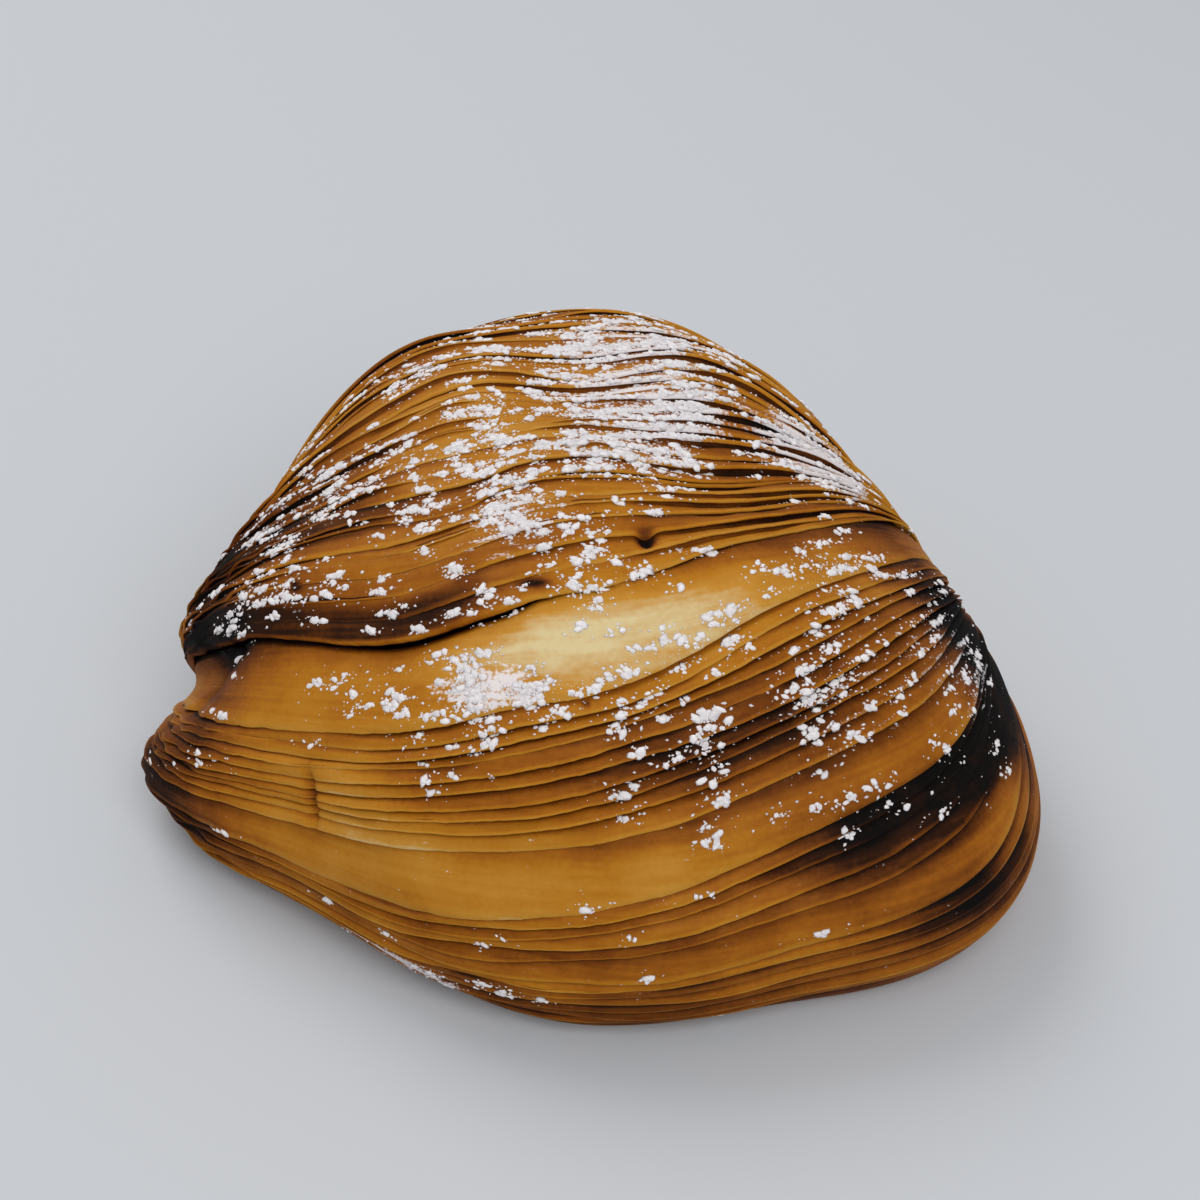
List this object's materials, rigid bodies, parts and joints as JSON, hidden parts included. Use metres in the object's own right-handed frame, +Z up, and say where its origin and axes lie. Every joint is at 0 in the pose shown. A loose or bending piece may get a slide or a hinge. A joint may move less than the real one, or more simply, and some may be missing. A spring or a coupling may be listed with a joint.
{
  "type": "sfogliatella",
  "caption": "Shell-shaped pastry of thin overlapping crisp leaves, fanned between two corners over a filled core, dusted with icing sugar and resting on a flat underside.",
  "frame": {"origin": "middle of the bounding box, at the level of the flat underside", "axes": "+X to the right along the width between the corners, +Y from the hem towards the back, +Z up"},
  "size_m": [0.1128, 0.0946, 0.0507],
  "materials": {
    "crust": "satin baked dough, golden to dark brown",
    "icing_sugar": "matte white powder in small clumps"
  },
  "bodies": {
    "root": {"pastry": "crust"}
  },
  "joints": []
}
